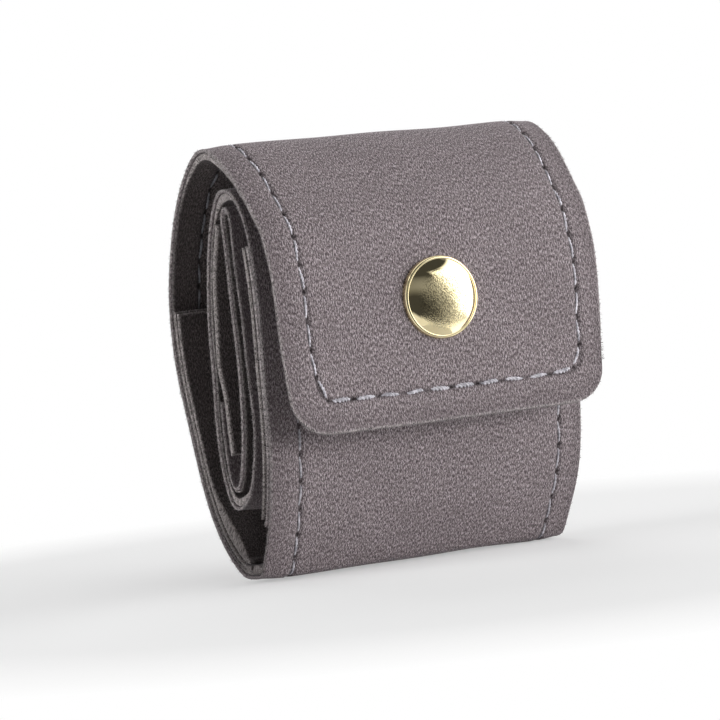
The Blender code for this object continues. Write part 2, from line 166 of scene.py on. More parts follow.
def softened(line, reach):
    """Soften columns of values at even steps over a reach, and keep their ends."""
    count = round(3 * reach / PATH_STEP)
    weights = np.exp(-0.5 * (np.arange(-count, count + 1) * PATH_STEP / reach) ** 2)
    weights /= weights.sum()
    padded = np.vstack([2 * line[0] - line[count:0:-1], line, 2 * line[-1] - line[-2:-count - 2:-1]])
    return np.stack([np.convolve(column, weights, "valid") for column in padded.T], 1)


def smooth_line(points):
    """Draw a Catmull-Rom curve through the points, in even steps and softened a little."""
    knots = np.array(points, float)
    knots = np.vstack([2 * knots[0] - knots[1], knots, 2 * knots[-1] - knots[-2]])
    samples = []
    for before, start, end, after in zip(knots, knots[1:], knots[2:], knots[3:]):
        count = max(2, math.ceil(np.linalg.norm(end - start) / PATH_STEP))
        t = (np.arange(count) / count)[:, None]
        samples.append((
            2 * start + (end - before) * t
            + (2 * before - 5 * start + 4 * end - after) * t ** 2
            + (3 * start - before - 3 * end + after) * t ** 3
        ) / 2)
    curve = np.vstack([*samples, knots[-2:-1]])
    return softened(at_even_steps(curve, PATH_STEP), SOFTEN_REACH)


def calmed(line):
    """Smooth the long gentle stretches of a line, and leave its tight folds as they are."""
    calm = softened(line, CALM_REACH)
    moved = np.linalg.norm(calm - line, axis=1, keepdims=True)
    share = softened(np.clip(1.5 - moved / CALM_LIMIT, 0, 1), CALM_REACH)
    return line + (calm - line) * np.clip(share, 0, 1) ** 2


class Route:
    """A line in the section, measured from its start, with normals that point into the roll."""

    def __init__(self, line):
        self.line = line
        self.along = distance_along(line)
        self.length = self.along[-1]
        tangent = np.gradient(line, axis=0)
        tangent /= np.linalg.norm(tangent, axis=1)[:, None]
        self.inward = np.stack([tangent[:, 1], -tangent[:, 0]], 1)

    def at(self, s):
        """Read the point and the inward normal at a distance along the line."""
        columns = (*self.line.T, *self.inward.T)
        y, z, inward_y, inward_z = [np.interp(s, self.along, column) for column in columns]
        scale = 1 / np.hypot(inward_y, inward_z)
        return y, z, inward_y * scale, inward_z * scale

    def least(self, away, start, stop=math.inf):
        """Give the distance along, between two others, at which a measure of the points is least."""
        inside = (self.along >= start) & (self.along <= stop)
        return float(self.along[inside][np.argmin(away[inside])])

    def near(self, target, start=0.0):
        """Give the distance along at which the line passes nearest to a place."""
        return self.least(np.linalg.norm(self.line - np.array(target), axis=1), start)

    def at_height(self, height, start, stop):
        """Give the distance along, between two others, at which the line reaches a height."""
        return self.least(abs(self.line[:, 1] - height), start, stop)


raw_line = calmed(smooth_line(section_points()))
heights = raw_line[:, 1]
rounded = (heights + np.hypot(heights, FOOT_EASE)) / 2
raw_line[:, 1] = rounded - rounded.min()
strip = Route(raw_line)
flap_fold = strip.near(place(FLAP_FOLD_SHARES))
back_fold = strip.near(place(BACK_FOLD_SHARES))
foot = strip.near((0, 0), back_fold)
panel_top = strip.near(place(PANEL_TOP_SHARES[2], low=seat_high), foot)
turn_bottom = strip.near(place(TURN_SHARES[-1]), panel_top)
end_fold = strip.near(place(END_SHARES[1]), turn_bottom)
print("strip length", round(strip.length / MM, 1), "mm; folds at",
      round(flap_fold / MM, 1), round(back_fold / MM, 1), "mm; foot at", round(foot / MM, 1), "mm")

# %% The strip's two long edges
EDGE_EASE = 3.5 * MM
LONG_WAVE, LONG_LENGTH = 0.12 * MM, 17 * MM
SHORT_WAVE, SHORT_LENGTH = 0.06 * MM, 4.1 * MM
RIGHT_WAVE, RIGHT_LENGTH = 0.08 * MM, 14 * MM
# Places along the strip, and by how many millimetres its right edge stands out there
edge_table = np.array([
    (0, -1.0), (0.4 * flap_fold, 0.35), (flap_fold, 1.5), ((flap_fold + back_fold) / 2, 2.7),
    (back_fold, 2.2), (foot - 6 * MM, -1.6), (foot + 4 * MM, -1.9), (foot + 9 * MM, -0.9),
    (foot + 16 * MM, -0.45), (panel_top, -0.6), (strip.length, -0.9),
])
edge_steps = np.interp(strip.along, edge_table[:, 0], edge_table[:, 1] * MM)
edge_line = softened(edge_steps[:, None], EDGE_EASE)[:, 0]
print("right edge stands out by up to", round(edge_line.max() / MM, 2), "mm")


def left_edge(s):
    """Give the strip's left edge at a distance along it."""
    return -half_width + LONG_WAVE * np.sin(s / LONG_LENGTH) + SHORT_WAVE * np.sin(s / SHORT_LENGTH)


def right_edge(s):
    """Give the right edge, which runs askew: widest over the top, narrow at the foot."""
    wave = RIGHT_WAVE * np.sin(s / RIGHT_LENGTH + 2)
    return half_width + np.interp(s, strip.along, edge_line) + wave


# %% [markdown]
# ## Materials
#
# Faux suede is a brushed microfibre: it has no weave, only a short nap that catches light in
# tiny specks and darkens where a finger has pushed it the other way. One colour would look
# like felt paper. Here fine noise gives the specks, stretched noise gives the brushed lie,
# and slow noise gives the clouds. The noise reads the strip's own flat coordinates, so the
# nap stays on the cloth when the flap bends. Rims and sewn rows are tinted by attributes
# that the mesh code writes: the rims are lighter, partly by their own fuzzy fibres and partly
# by painted sheen, and the rows carry painted shade in their grooves and needle holes. Shade
# is painted into the colour too: the margins, the rims near the foot, on which the roll stands,
# and the innermost turns are darker.

# %% Node helpers
def new_material(name):
    """Start a material and give back its tree and its shader."""
    material = bpy.data.materials.new(name)
    material.use_nodes = True
    return material, material.node_tree, material.node_tree.nodes["Principled BSDF"]


def plug(tree, socket, value):
    """Link another node's output to a socket, or set a plain value on it."""
    if isinstance(value, bpy.types.NodeSocket):
        tree.links.new(value, socket)
    else:
        socket.default_value = value


def fill(tree, node, **inputs):
    """Plug values into a node's inputs by name, with spaces written as underscores."""
    for name, value in inputs.items():
        plug(tree, node.inputs[name.replace("_", " ")], value)
    return node


def add(tree, kind, **inputs):
    """Add a node and fill its inputs."""
    return fill(tree, tree.nodes.new(kind), **inputs)


def maths(tree, operation, *values):
    """Work through the values with maths nodes, from the left, and give back the result."""
    result = values[0]
    for value in values[1:]:
        node = tree.nodes.new("ShaderNodeMath")
        node.operation = operation
        plug(tree, node.inputs[0], result)
        plug(tree, node.inputs[1], value)
        result = node.outputs[0]
    return result


def measure(tree, operation, vector, second=(0, 0, 0)):
    """Work out one number from a vector, and from a second one where the operation takes two."""
    node = add(tree, "ShaderNodeVectorMath", Vector=vector)
    node.operation = operation
    node.inputs[1].default_value = second
    return node.outputs["Value"]


def tone(colour, share=1.0):
    """Scale a colour, and add the fourth number that a socket takes."""
    return (*(share * part for part in colour), 1)


def mix(tree, factor, first, second):
    """Mix two colours and give back the result."""
    node = tree.nodes.new("ShaderNodeMix")
    node.data_type = "RGBA"
    for index, value in ((0, factor), (6, first), (7, second)):
        plug(tree, node.inputs[index], value)
    return node.outputs[2]


def place_in(tree):
    """Read the place in space, in metres from the piece's origin."""
    return add(tree, "ShaderNodeTexCoord").outputs["Object"]


def flat_place(tree, turn=0.0, stretch=1.0):
    """Read the cloth's flat coordinates in millimetres, turned and stretched along the nap."""
    uv = add(tree, "ShaderNodeUVMap").outputs[0]
    scale = (MM * stretch, MM, MM)
    mapping = add(tree, "ShaderNodeMapping", Vector=uv, Rotation=(0, 0, turn), Scale=scale)
    mapping.vector_type = "TEXTURE"
    return mapping.outputs[0]


def noise(tree, vector, scale, detail=1.0, roughness=0.6):
    """Add noise, with its scale in cells to one unit of its coordinates."""
    return add(tree, "ShaderNodeTexNoise", Vector=vector, Scale=scale, Detail=detail,
               Roughness=roughness).outputs[0]


def attribute(tree, name):
    """Read a number that the mesh carries at its vertices."""
    node = tree.nodes.new("ShaderNodeAttribute")
    node.attribute_name = name
    return node.outputs["Fac"]


def spread(tree, value, low, high):
    """Stretch a value so that low becomes 0 and high becomes 1."""
    return add(tree, "ShaderNodeMapRange", Value=value, From_Min=low, From_Max=high).outputs[0]


# %% Grey suede and its lining
# Each layer of nap: its turn, its stretch, its cells per millimetre and its share
NAP_LAYERS = (
    (0.0, 1.0, 6.4, 0.2), (math.radians(78), 3.8, 7.0, 0.5), (math.radians(112), 2.6, 5.8, 0.3))
NAP_RANGE = (0.405, 0.595)
NAP_BUMP = 0.12 * MM
# Each layer of clouds: its cells per millimetre, its detail and how much it darkens
CLOUD_LAYERS = ((0.11, 3.0, 0.16), (0.62, 2.0, 0.14))
CLOUD_RANGE = (0.3, 0.7)
# Painted shade on the strip's innermost turns: it starts 8 mm past the panel's top and is full at 16 mm
DEEP_SHADE_RANGE = (panel_top + 8 * MM, panel_top + 16 * MM)
DEEP_SHADE_SHARE = 0.28
# Painted shade at the margins, where the cloth curves away from the light
MARGIN_SHADE_SHARE = 0.3
FUZZ_AND_SHEEN_SHARES = (0.25, 2.0)
# Painted shade on the rims near the foot, on which the roll stands: full at 9 mm, gone at 30 mm
FOOT_SHADE_RANGE = (30 * MM, 9 * MM)
FOOT_SHADE_SHARE = 0.68
RIM_POWER = 80.0
RIM_SHARE = 0.8
# How dark the painted shade in the sewn rows gets, as a share of the dark tone
ROW_SHADE_TONE = 0.3


def suede_material(name, dark, mean, light, rim_colour_and_sheen):
    """Make brushed faux suede from three tones and the tone of its cut rims, which is lighter partly by
    their own fibres and partly by painted sheen.
    """
    material, tree, shader = new_material(name)
    nap = maths(tree, "ADD", *[
        maths(tree, "MULTIPLY", noise(tree, flat_place(tree, turn, stretch), scale), share)
        for turn, stretch, scale, share in NAP_LAYERS])
    grain = spread(tree, nap, *NAP_RANGE)
    ramp = tree.nodes.new("ShaderNodeValToRGB")
    plug(tree, ramp.inputs[0], grain)
    ramp.color_ramp.elements.new(0.5)
    for element, colour in zip(ramp.color_ramp.elements, (dark, mean, light)):
        element.color = tone(colour)
    margin = attribute(tree, "margin")
    uv = add(tree, "ShaderNodeUVMap").outputs[0]
    along = add(tree, "ShaderNodeSeparateXYZ", Vector=uv).outputs[1]
    cloudy = maths(tree, "ADD", *[
        maths(tree, "MULTIPLY", spread(
            tree, noise(tree, flat_place(tree), scale, detail), *CLOUD_RANGE), share)
        for scale, detail, share in CLOUD_LAYERS])
    # Painted shade on the innermost turns
    inner_turn_shade = maths(tree, "MULTIPLY", spread(tree, along, *DEEP_SHADE_RANGE), DEEP_SHADE_SHARE)
    # The nap's colour is darkened by the clouds, then by painted shade on the inner turns and at the
    # margins
    nap_colour = ramp.outputs[0]
    for share in (cloudy, inner_turn_shade, maths(tree, "MULTIPLY", margin, MARGIN_SHADE_SHARE)):
        nap_colour = mix(tree, share, nap_colour, tone(dark))
    # The rims' lighter tone: partly their own fuzzy fibres, partly painted sheen
    fuzz_and_sheen = mix(tree, grain, *[tone(rim_colour_and_sheen, share) for share in FUZZ_AND_SHEEN_SHARES])
    # Painted shade: the rims darken towards the foot
    from_foot = maths(tree, "ABSOLUTE", maths(tree, "SUBTRACT", along, foot), 0.0)
    foot_rim_shade = maths(tree, "MULTIPLY", spread(tree, from_foot, *FOOT_SHADE_RANGE), FOOT_SHADE_SHARE)
    rim = maths(tree, "MULTIPLY", maths(tree, "POWER", margin, RIM_POWER), RIM_SHARE)
    rimmed = mix(tree, rim, nap_colour, mix(tree, foot_rim_shade, fuzz_and_sheen, tone(dark)))
    # Painted shade in the sewn rows' grooves and needle holes
    sewn = mix(tree, attribute(tree, "row"), rimmed, tone(dark, ROW_SHADE_TONE))
    bump = add(tree, "ShaderNodeBump", Strength=1.0, Distance=NAP_BUMP, Height=nap)
    fill(tree, shader, Base_Color=sewn, Normal=bump.outputs[0], Roughness=0.95,
         Specular_IOR_Level=0.12, Sheen_Weight=0.18, Sheen_Roughness=0.45,
         Sheen_Tint=(0.8, 0.76, 0.78, 1))
    return material


suede = suede_material(
    "brushed_suede", (0.07, 0.056, 0.06), (0.19, 0.159, 0.165), (0.54, 0.473, 0.494),
    (0.27, 0.245, 0.244))
# The lining's tones are darker than the suede's: partly the lining's own colour, mostly painted shade
# for the inside of the roll
lining = suede_material(
    "lining_with_painted_shade", (0.03, 0.025, 0.024), (0.08, 0.067, 0.065), (0.24, 0.205, 0.205),
    (0.27, 0.245, 0.24))
print("made", suede.name, "and", lining.name)


# %% Thread, loose fibres and metal
THREAD_RANGE = (0.35, 0.65)
PITTED_REACH = (4.83 * MM, 3.36 * MM)
PITTED_DROP = 0.5 * MM
PIT_RANGE = (0.44, 0.68)
PIT_SHARE = 0.4
PATCH_RANGE = (0.45, 0.75)
PATCH_SCALE = 0.12


def fibre_material(name, dark, light, scale):
    """Make thread or fluff: two tones that change along it, dull and slightly soft."""
    material, tree, shader = new_material(name)
    share = spread(tree, noise(tree, place_in(tree), scale / MM, 2.0), *THREAD_RANGE)
    fill(tree, shader, Base_Color=mix(tree, share, tone(dark), tone(light)), Roughness=0.8,
         Sheen_Weight=0.3)
    return material


def metal_material(name, colour, worn, roughness, grain, depth):
    """Make plated metal: a smooth rim, and a middle that fine pits have dulled."""
    material, tree, shader = new_material(name)
    middle = (0, cap_low.y, snap_height - PITTED_DROP)
    pitted = spread(tree, measure(tree, "DISTANCE", place_in(tree), middle), *PITTED_REACH)
    pits = noise(tree, place_in(tree), grain / MM)
    patches = noise(tree, place_in(tree), PATCH_SCALE * grain / MM, 2.0, 0.5)
    plating = mix(tree, spread(tree, patches, *PATCH_RANGE), tone(colour), tone(worn))
    darkened = maths(tree, "MULTIPLY", spread(tree, pits, *PIT_RANGE), pitted)
    smooth, dulled = roughness
    bump = add(tree, "ShaderNodeBump", Strength=1.0, Distance=depth,
               Height=maths(tree, "MULTIPLY", pits, pitted))
    fill(tree, shader, Base_Color=mix(tree, darkened, plating, tone(worn, PIT_SHARE)),
         Roughness=maths(tree, "ADD", smooth, maths(tree, "MULTIPLY", pitted, dulled - smooth)),
         Normal=bump.outputs[0], Metallic=1.0)
    return material


thread = fibre_material("grey_thread", (0.34, 0.327, 0.367), (0.84, 0.81, 0.87), 1.2)
# A dimmer thread than the flap's, for the rows on the top and the wrap
dimmer_thread = fibre_material("dimmer_thread", (0.25, 0.24, 0.27), (0.64, 0.615, 0.665), 1.2)
# A darker copy of the thread for the lining's rows: painted shade for the inside of the roll
shaded_lining_thread = fibre_material("thread_in_painted_shade", (0.09, 0.09, 0.1), (0.26, 0.26, 0.29), 1.2)
fluff = fibre_material("loose_fibre", (0.17, 0.15, 0.152), (0.42, 0.385, 0.39), 0.4)
gold = metal_material("pale_gold", (0.95, 0.83, 0.52), (0.9, 0.77, 0.45), (0.05, 0.18), 4.4, 0.05 * MM)
steel = metal_material("spring_steel", (0.6, 0.6, 0.6), (0.45, 0.44, 0.42), (0.2, 0.4), 5.0, 0.006 * MM)
print("materials:", len(bpy.data.materials))

# %% [markdown]
# ## One sheet of cloth
#
# Every layer is a closed sheet: an outer and an inner face that meet in a rounded rim. Blender
# could do this with a plane, a Solidify and a Bevel, but the flap's round corners, the sewn
# rows and the soft rims all depend on how far a point is from the cut edge. So each sheet is a
# formula from flat cloth coordinates (x, s) to space. The grid is sampled from it, and later
# the stitches and the loose fibres find their places with the same formula.

# %% The relief of sewn cloth
EDGE_INSET_LEFT = 4.8 * MM
EDGE_INSET_RIGHT = 4.1 * MM
TIP_INSET = 4.7 * MM
END_INSET = 3.0 * MM
ROW_CORNER = 2.4 * MM
STITCH_PITCH = 4.2 * MM
ROW_WIDTH = 0.42 * MM
ROW_DEPTH = 0.3 * MM
HOLE_WIDTH = 0.26 * MM
HOLE_DEPTH = 0.25 * MM
PILLOW_DEPTH = 0.22 * MM
PILLOW_REACH = 2.2 * MM
WAVE_HEIGHT = 0.16 * MM
FLAP_CORNER = 5.8 * MM
WAVE_COUNT = 9
# Painted shade in the sewn row's groove and in its needle holes
ROW_PAINTED_SHADE = 0.42
HOLE_PAINTED_SHADE = 0.8
FAR = 1.0

draw = np.random.default_rng(7)
wave_turns = draw.uniform(0, 2 * math.pi, WAVE_COUNT)
wave_lengths = draw.uniform(9, 34, WAVE_COUNT) * MM
wave_starts = draw.uniform(0, 2 * math.pi, WAVE_COUNT)


def waves(x, s):
    """Give the cloth's slow unevenness, mostly from -1 to 1."""
    return sum(
        np.sin(2 * math.pi * (x * math.cos(turn) + s * math.sin(turn)) / length + start)
        for turn, length, start in zip(wave_turns, wave_lengths, wave_starts)) / 4


def inside_corner(from_side, from_tip, corner):
    """Measure how far a place lies inside two edges that meet in a round corner."""
    rounded = corner - np.hypot(corner - from_side, corner - from_tip)
    in_corner = (from_side < corner) & (from_tip < corner)
    return np.where(in_corner, rounded, np.minimum(from_side, from_tip))


def row_distance(x, s):
    """Measure how far a place lies from the sewn row up one edge, round the tip and back."""
    from_left = x - left_edge(s) - EDGE_INSET_LEFT
    from_right = right_edge(s) - EDGE_INSET_RIGHT - x
    return abs(inside_corner(np.minimum(from_left, from_right), s - TIP_INSET, ROW_CORNER))


def row_points(stop):
    """List the needle holes (x, s) of that row."""
    fine = 0.1 * MM
    left = float(left_edge(0)) + EDGE_INSET_LEFT
    right = float(right_edge(0)) - EDGE_INSET_RIGHT
    bend = TIP_INSET + ROW_CORNER
    turns = np.linspace(0, math.pi / 2, 40)
    up = np.arange(bend, stop, fine)
    tip = np.arange(left + ROW_CORNER, right - ROW_CORNER, fine)
    line = np.concatenate([
        np.stack([left_edge(up[::-1]) + EDGE_INSET_LEFT, up[::-1]], 1),
        np.stack([left + ROW_CORNER * (1 - np.cos(turns)), bend - ROW_CORNER * np.sin(turns)], 1),
        np.stack([tip, np.full_like(tip, TIP_INSET)], 1),
        np.stack([right - ROW_CORNER * (1 - np.sin(turns)), bend - ROW_CORNER * np.cos(turns)], 1),
        np.stack([right_edge(up) - EDGE_INSET_RIGHT, up], 1),
    ])
    return at_even_steps(line, STITCH_PITCH)


holes = row_points(strip.length - END_INSET)
print("needle holes in the strip:", len(holes))


def hole_distance(x, s):
    """Measure how far each place lies from the nearest needle hole, as far as the hole shows."""
    reach = 4 * HOLE_WIDTH
    order = np.argsort(s)
    x_sorted, s_sorted = x[order], s[order]
    best = np.full(x.shape, FAR)
    for hole_x, hole_s in holes:
        part = slice(*np.searchsorted(s_sorted, (hole_s - reach, hole_s + reach)))
        near = np.hypot(x_sorted[part] - hole_x, s_sorted[part] - hole_s)
        best[part] = np.minimum(best[part], near)
    away = np.empty_like(best)
    away[order] = best
    return away


def sewn_relief(x, s):
    """Give how far the sewn row draws the cloth in at a point, and how much painted shade its groove
    and holes get there.
    """
    away = row_distance(x, s)
    groove = np.exp(-(away / ROW_WIDTH) ** 2)
    close = away < 3 * HOLE_WIDTH
    hole = np.zeros_like(x)
    hole[close] = np.exp(-(hole_distance(x[close], s[close]) / HOLE_WIDTH) ** 2)
    depth = ROW_DEPTH * groove + HOLE_DEPTH * hole
    return depth, np.clip(ROW_PAINTED_SHADE * groove ** 2 + HOLE_PAINTED_SHADE * hole, 0, 1)


# %% Where a sheet's faces lie
RIM_OFFSETS = np.array([0, 0.04, 0.11, 0.2, 0.33, 0.5, 0.75, 1.1, 1.6, 2.2, 2.8, 3.3]) * MM
ROW_OFFSETS = MM * np.array([
    3.6, 3.8, 3.95, 4.1, 4.25, 4.4, 4.55, 4.7, 4.85, 5.0, 5.15, 5.35, 5.7, 6.2, 6.9])
MIDDLE_STEP = 0.9 * MM
CLOSEST_ROWS = 0.03 * MM
CORNER_EASE = 12 * MM
TINY = 0.05 * MM
MARGIN = 2.6 * MM
ROUND_SHARE = 0.42
RIM_LEAST = 0.22
RIM_THINNING = 0.16
PILLOW_START = 0.6 * MM


def unit(vectors):
    """Scale vectors to length one."""
    return vectors / np.maximum(np.linalg.norm(vectors, axis=-1, keepdims=True), 1e-12)


@dataclass
class Sheet:
    """A sheet of cloth along a route: it says where its faces lie at a flat place (x, s).

    depth is how far its outer face lies inside the route, rims says which of its two ends are
    cut, sewn says which of its two faces show sewn rows, inset is how far its sides stand in
    from the strip's own, and lift(x, z, s) is how far a point stands out from the route.
    edge_from is where on the strip the route starts, and swell(s) is how much the cloth bulks up
    on its inner side.
    """

    route: Route
    start: float
    stop: float
    depth: float
    thickness: float
    corner: float = 0.0
    rims: tuple = (True, True)
    sewn: tuple = (False, False)
    inset: tuple = (0.0, 0.0)
    lift: object = None
    edge_from: float = 0.0
    wave_share: float = 1.0
    swell: object = None

    def sides(self, s):
        """Give the sheet's left and right edges at a distance along it."""
        along = s + self.edge_from
        return left_edge(along) + self.inset[0], right_edge(along) - self.inset[1]

    def inside(self, x, s):
        """Measure how far a place lies inside the sheet's cut edges."""
        left, right = self.sides(s)
        from_side = np.minimum(x - left, right - x)
        from_tip = s - self.start if self.rims[0] else np.full_like(s, FAR)
        from_end = self.stop - s if self.rims[1] else np.full_like(s, FAR)
        away = inside_corner(from_side, from_tip, self.corner)
        return np.maximum(np.minimum(away, from_end), 0)

    def corner_cut(self, x, left, right):
        """Measure how far x lies in a rounded corner, and how much that takes off the start."""
        over = np.maximum(self.corner - np.minimum(x - left, right - x), 0)
        return over, self.corner - np.sqrt(np.maximum(self.corner ** 2 - over ** 2, 0))

    def faces(self, x, s):
        """Give the outer and inner points, how near a cut edge is and how much painted shade a row has.
        """
        away = self.inside(x, s)
        round_share = 1 - np.minimum(away / (ROUND_SHARE * self.thickness), 1)
        full = np.maximum(np.sqrt(1 - round_share ** 2), RIM_LEAST)
        full = full * (1 - RIM_THINNING * np.exp(-(away / PILLOW_REACH) ** 2))
        half = full * self.thickness / 2
        relief, dark = sewn_relief(x, s)
        pillow = PILLOW_DEPTH * np.exp(-(np.maximum(away - PILLOW_START, 0) / PILLOW_REACH) ** 2)
        y, z, inward_y, inward_z = self.route.at(s)
        middle = self.depth + self.thickness / 2 - self.wave_share * WAVE_HEIGHT * waves(x, s)
        if self.lift:
            middle = middle - self.lift(x, z, s)
        drawn_in = full * (relief + pillow)
        outer_depth = middle - half + (drawn_in if self.sewn[0] else 0)
        inner_depth = middle + half - (drawn_in if self.sewn[1] else 0)
        if self.swell:
            inner_depth = inner_depth + full * self.swell(s)
        outer, inner = [np.stack([x, y + inward_y * depth, z + inward_z * depth], -1)
                        for depth in (outer_depth, inner_depth)]
        return outer, inner, np.exp(-(away / MARGIN) ** 2), dark

    def normal(self, x, s, face):
        """Give the normal that points out of one face, 0 for the outer and 1 for the inner."""
        along_x = self.faces(x + TINY, s)[face] - self.faces(x - TINY, s)[face]
        along_s = self.faces(x, s + TINY)[face] - self.faces(x, s - TINY)[face]
        return unit(np.cross(along_x, along_s)) * (-1 if face else 1)

    def rows(self, step):
        """Give the places along the sheet, closer together at an end that has a rim."""
        places = list(np.arange(self.start, self.stop, step)) + [self.stop]
        rim = RIM_OFFSETS[RIM_OFFSETS < 2 * MM]
        if self.rims[0]:
            places += list(self.start + rim)
            places += list(self.start + ROW_OFFSETS + TIP_INSET - EDGE_INSET_LEFT)
        if self.rims[1]:
            places += list(self.stop - rim)
        keep = [self.start]
        for value in sorted(places):
            if value - keep[-1] > CLOSEST_ROWS:
                keep.append(value)
        keep[-1] = self.stop
        return np.array(keep)

    def grid(self, step):
        """Give a grid of flat places that is fine along the rims and the sewn rows."""
        edge = np.concatenate([RIM_OFFSETS, ROW_OFFSETS])
        count = round((2 * half_width - 2 * edge[-1]) / MIDDLE_STEP)
        middle = np.linspace(0, 1, count + 1)[1:-1]
        s = np.repeat(self.rows(step)[:, None], 2 * len(edge) + len(middle), 1)
        left, right = self.sides(s[:, :1])
        x = np.concatenate([
            left + edge, left + edge[-1] + (right - left - 2 * edge[-1]) * middle, right - edge[::-1],
        ], 1)
        if self.corner:
            cut = self.corner_cut(x, left, right)[1]
            s = s + cut * np.clip(1 - (s - self.start) / CORNER_EASE, 0, 1)
        return x, s


# %% Turn a sheet into a mesh
INNER_FACE_SHIFT = 4 * half_width
TURNED_ROUND = [0, 3, 2, 1]


def in_scene(name, data):
    """Put a mesh, a lamp or a camera into the scene under a name."""
    thing = bpy.data.objects.new(name, data)
    bpy.context.scene.collection.objects.link(thing)
    return thing


def make_piece(name, mesh, material):
    """Smooth a mesh, give it its material and put it into the scene."""
    mesh.shade_smooth()
    mesh.materials.append(material)
    return in_scene(name, mesh)


def quads(index):
    """List the four corners of each face in a grid of vertex numbers."""
    corners = [index[:-1, :-1], index[:-1, 1:], index[1:, 1:], index[1:, :-1]]
    return np.stack(corners, -1).reshape(-1, 4)


def cloth(name, sheet, material, step):
    """Close a sheet's two grids into one piece with its flat coordinates and attributes."""
    x, s = sheet.grid(step)
    outer, inner, margin, dark = sheet.faces(x, s)
    rows, columns = x.shape
    count = rows * columns
    index = np.arange(count).reshape(rows, columns)
    outside = quads(index)
    inside = outside[:, TURNED_ROUND] + count
    ring = np.concatenate([index[0, :-1], index[:-1, -1], index[-1, :0:-1], index[:0:-1, 0]])
    following = np.roll(ring, -1)
    side = np.stack([ring + count, following + count, following, ring], -1)
    faces = np.concatenate([outside, inside, side])
    points = np.concatenate([outer.reshape(-1, 3), inner.reshape(-1, 3)])
    mesh = bpy.data.meshes.new(name)
    mesh.vertices.add(len(points))
    mesh.vertices.foreach_set("co", points.astype(np.float32).ravel())
    mesh.loops.add(faces.size)
    mesh.loops.foreach_set("vertex_index", faces.astype(np.int32).ravel())
    mesh.polygons.add(len(faces))
    mesh.polygons.foreach_set("loop_start", np.arange(0, faces.size, 4, dtype=np.int32))
    mesh.update(calc_edges=True)
    mesh.validate()
    # The inner face's flat coordinates lie beside the outer face's, so that neither repeats
    u = np.concatenate([x.ravel(), INNER_FACE_SHIFT - x.ravel()])[faces]
    v = np.concatenate([s.ravel(), s.ravel()])[faces]
    u[-len(side):, :2] = u[-len(side):, :1:-1] + np.linalg.norm(
        points[side[:, :2]] - points[side[:, :1:-1]], axis=-1)
    layer = mesh.uv_layers.new(name="flat")
    layer.uv.foreach_set("vector", np.stack([u, v], -1).astype(np.float32).ravel())
    # The painted shade of the sewn rows, on the faces that show them
    row = [dark if shown else np.zeros_like(dark) for shown in sheet.sewn]
    for label, values in (("margin", [margin, margin]), ("row", row)):
        layer = mesh.attributes.new(label, "FLOAT", "POINT")
        values = np.concatenate([part.ravel() for part in values])
        layer.data.foreach_set("value", values.astype(np.float32))
    piece = make_piece(name, mesh, material)
    if not all(sheet.rims):
        both = [sheet.normal(x, s, face).reshape(-1, 3) for face in (0, 1)]
        mesh.normals_split_custom_set_from_vertices(np.concatenate(both).tolist())
    return piece


# %% [markdown]
# ## Thread and loose fibres
#
# A stitch is two strands twisted round each other that dive into the needle holes. A dashed
# texture would stay flat where the rows catch the light, so the strands are modelled as thin
# tubes. Cut faux suede also sheds: its rims carry a fringe of fibres a fraction of a
# millimetre long, and that fringe is what makes the edge look soft and not moulded. Both are
# bundles of closed tubes, so one short function builds either.

# %% Closed tubes
def tubes(name, rings, material):
    """Build closed tubes from an array of rings: tube, ring, corner and place."""
    count, length, corners = rings.shape[:3]
    index = np.arange(count * length * corners).reshape(count, length, corners)
    following = np.roll(index, -1, axis=2)
    walls = np.stack([index[:, :-1], following[:, :-1], following[:, 1:], index[:, 1:]], -1)
    ends = np.concatenate([index[:, 0, ::-1], index[:, -1]])
    mesh = bpy.data.meshes.new(name)
    faces = walls.reshape(-1, 4).tolist() + ends.tolist()
    mesh.from_pydata(rings.reshape(-1, 3).tolist(), [], faces)
    return make_piece(name, mesh, material)


def rings_round(centres, first, second, radius, corners):
    """Set rings of corners round some centres, in the plane of two directions."""
    angles = (2 * math.pi * np.arange(corners) / corners)[:, None]
    circle = first[..., None, :] * np.cos(angles) + second[..., None, :] * np.sin(angles)
    return centres[..., None, :] + circle * np.asarray(radius)[..., None, None]


# %% Stitches
# Where two numbers stand together, the first is for the row across the flap's tip
STRAND_RADIUS = (0.19 * MM, 0.125 * MM)
STRAND_REACH = (0.19 * MM, 0.1 * MM)
STRAND_SIDES = 6
TWIST_PITCH = 1.25 * MM
STITCH_RINGS = 17
STITCH_DIVE = 0.6 * MM
STITCH_RISE = (0.2 * MM, 0.15 * MM)
ARCH_POWER = (0.7, 0.34)
HOLE_SHARE = 0.04
STITCH_SKEW, SKEW_TURN = 0.16 * MM, 2.4
STITCH_CHANGE, CHANGE_TURN = 0.25, 5.1


